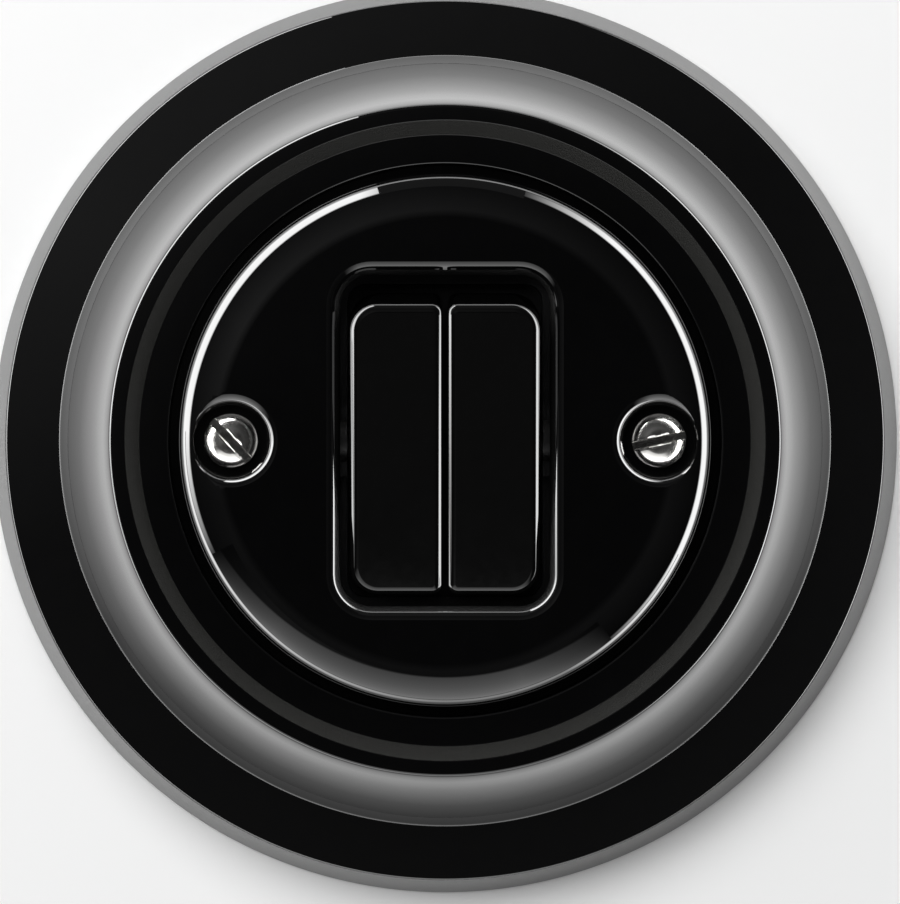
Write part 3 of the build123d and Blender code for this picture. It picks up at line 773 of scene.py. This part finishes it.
def cardMaterial(name, layers):
    result, tree, shader = newMaterial(name)
    tree.nodes.remove(shader)
    split = tree.nodes.new("ShaderNodeSeparateXYZ")
    tree.links.new(tree.nodes.new("ShaderNodeTexCoord").outputs["Object"], split.inputs[0])
    x, y, z = (split.outputs[axis] for axis in "XYZ")
    forward = mathNode(tree, "MULTIPLY", y, -1.0)
    squares = mathNode(tree, "ADD", mathNode(tree, "MULTIPLY", x, x), mathNode(tree, "MULTIPLY", z, z))
    out, ahead = mathNode(tree, "SQRT", squares), forward
    if "near" in layers[0]:
        out = mathNode(tree, "SUBTRACT", out, rimSpot["radius"])
        ahead = mathNode(tree, "SUBTRACT", forward, rimSpot["height"])
    angle = mathNode(tree, "DEGREES", mathNode(tree, "ARCTAN2", out, ahead))
    start = float(layers[0]["round"][0][0])
    bearing = mathNode(tree, "DEGREES", mathNode(tree, "ARCTAN2", z, x))
    turned = mathNode(tree, "MODULO", mathNode(tree, "ADD", bearing, 720.0 - start), 360.0)
    bearing = mathNode(tree, "ADD", turned, start)
    below = mathNode(tree, "ARCTAN2", mathNode(tree, "MULTIPLY", z, -1.0), forward)
    total = 0.0
    for layer in layers:
        level = mathNode(tree, "MULTIPLY", levelNode(tree, angle, layer["off"]), layer["glow"])
        level = mathNode(tree, "MULTIPLY", level, levelNode(tree, bearing, layer["round"]))
        if "dip" in layer:
            dip = levelNode(tree, mathNode(tree, "DEGREES", below), layer["dip"])
            level = mathNode(tree, "MULTIPLY", level, dip)
        total = mathNode(tree, "ADD", level, total)
    light = tree.nodes.new("ShaderNodeEmission")
    tree.links.new(total, light.inputs["Strength"])
    tree.links.new(light.outputs[0], tree.nodes["Material Output"].inputs["Surface"])
    return result


def buildCard(name, layers):
    outline = layers[0]
    radius = outline.get("near", outline.get("radius", cardSizes["radius"]))
    middle = Vector((rimSpot["radius"], -rimSpot["height"], 0)) if "near" in outline else Vector()
    start, end = (math.radians(outline["off"][i][0]) for i in (0, -1))
    first, last = (math.radians(outline["round"][i][0]) for i in (0, -1))
    steps = cardSizes["arcSteps"]
    bm = bmesh.new()
    turn = Matrix.Rotation(-first, 3, "Y")
    angles = [start + (end - start) * step / steps for step in range(steps + 1)]
    arc = [middle + Vector((math.sin(angle), -math.cos(angle), 0)) * radius for angle in angles]
    verts = [bm.verts.new(turn @ point) for point in arc]
    for before, after in zip(verts, verts[1:]):
        bm.edges.new((before, after))
    bmesh.ops.spin(bm, geom=bm.verts[:] + bm.edges[:], cent=(0, 0, 0), axis=(0, -1, 0), dvec=(0, 0, 0),
                   angle=last - first, steps=cardSizes["turnSteps"], use_merge=False, use_duplicate=False)
    bmesh.ops.remove_doubles(bm, verts=bm.verts[:], dist=cardSizes["merge"])
    card = asObject(bm, name)
    card.data.materials.append(cardMaterial(name, layers))
    card.visible_camera = False
    card.visible_diffuse = False
    card.visible_shadow = False
    card.visible_transmission = False


for name, layers in cards.items():
    buildCard(name, layers)
print("cards placed:", len(cards))


# lamps, world and camera
lamps = {
    "key_lamp": dict(place=(-0.291, -0.687, 0.466), size=0.9, power=9.4),
    "back_lamp": dict(place=(0.5, 0.7, 0.6), size=0.6, power=5.0),
}
worldLevels = dict(seen=1.0, fill=0.25)
viewSizes = dict(
    distance=1.2, facePlane=0.0085, pixelsPerMm=8.9, imageSize=(900.0, 904.0), centre=(445.0, 440.5),
    sensor=36.0,
)


def placeLamp(name, spec):
    lamp = bpy.data.lights.new(name, "AREA")
    lamp.size = spec["size"]
    lamp.energy = spec["power"]
    holder = bpy.data.objects.new(name, lamp)
    scene.collection.objects.link(holder)
    holder.location = spec["place"]
    holder.rotation_euler = (-Vector(spec["place"])).to_track_quat("-Z", "Y").to_euler()
    holder.visible_glossy = False
    holder.visible_camera = False


def lightWorld(levels):
    # white where it is seen, straight or in a reflection, and a faint fill everywhere else
    world = bpy.data.worlds.new("studio")
    scene.world = world
    world.use_nodes = True
    tree = world.node_tree
    path = tree.nodes.new("ShaderNodeLightPath").outputs
    bent = mathNode(tree, "ADD", path["Is Glossy Ray"], path["Is Transmission Ray"])
    seen = mathNode(tree, "ADD", path["Is Camera Ray"], bent, clamp=True)
    strength = tree.nodes.new("ShaderNodeMapRange")
    strength.inputs["To Min"].default_value = levels["fill"]
    strength.inputs["To Max"].default_value = levels["seen"]
    tree.links.new(seen, strength.inputs["Value"])
    tree.links.new(strength.outputs["Result"], tree.nodes["Background"].inputs["Strength"])
    tree.nodes["Background"].inputs["Color"].default_value = white


def placeCamera(s):
    # straight from the front, with the scale given at the plane of the faces
    camera = bpy.data.cameras.new("photo_view")
    camera.sensor_fit = "HORIZONTAL"
    camera.sensor_width = s["sensor"]
    imageWidth, imageHeight = s["imageSize"]
    seenWidth = imageWidth / s["pixelsPerMm"] * mm
    camera.lens = camera.sensor_width * (s["distance"] - s["facePlane"]) / seenWidth
    camera.shift_x = (imageWidth / 2 - s["centre"][0]) / imageWidth
    camera.shift_y = (s["centre"][1] - imageHeight / 2) / imageWidth
    holder = bpy.data.objects.new("photo_view", camera)
    scene.collection.objects.link(holder)
    holder.location = (0.0, -s["distance"], 0.0)
    holder.rotation_euler = (math.pi / 2, 0.0, 0.0)
    scene.camera = holder


for name, spec in lamps.items():
    placeLamp(name, spec)
lightWorld(worldLevels)
placeCamera(viewSizes)
print("lamps, world and camera placed")
